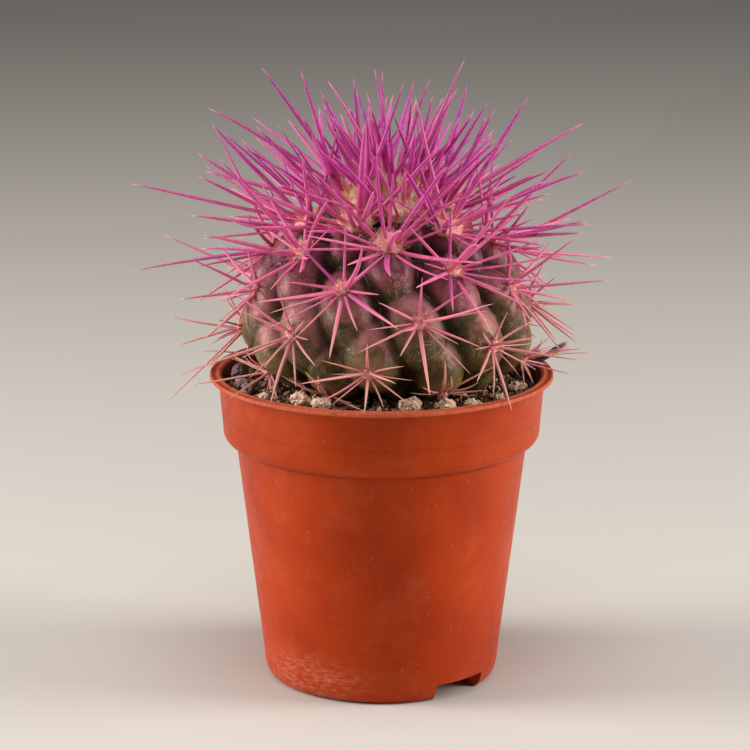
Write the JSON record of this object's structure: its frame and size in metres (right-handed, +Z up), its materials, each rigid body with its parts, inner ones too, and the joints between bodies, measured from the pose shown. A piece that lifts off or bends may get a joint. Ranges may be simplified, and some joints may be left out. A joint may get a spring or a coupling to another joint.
{
  "type": "potted round cactus",
  "caption": "Small round cactus with knobbly ribs and long dyed spines, standing in soil with loose chips in a thin plastic nursery pot.",
  "frame": {"origin": "middle of the pot's foot, on the surface that it stands on", "axes": "+Z up along the pot's axis, -Y towards the front of the picture, +X to the right of it"},
  "size_m": [0.08, 0.08, 0.1008],
  "materials": {
    "pot_plastic": "satin",
    "potting_soil": "matte",
    "cactus_flesh": "satin",
    "mineral_chip": "matte",
    "bark": "matte"
  },
  "bodies": {
    "root": {"pot": "pot_plastic", "soil": "potting_soil", "cactus": "cactus_flesh", "chip_1": "mineral_chip", "chip_2": "mineral_chip", "chip_3": "mineral_chip", "chip_4": "mineral_chip", "chip_5": "mineral_chip", "chip_6": "mineral_chip", "chip_7": "mineral_chip", "chip_8": "mineral_chip", "chip_9": "mineral_chip", "chip_10": "mineral_chip", "chip_11": "mineral_chip", "bark_1": "bark", "bark_2": "bark", "bark_flake": "bark"}
  },
  "joints": []
}
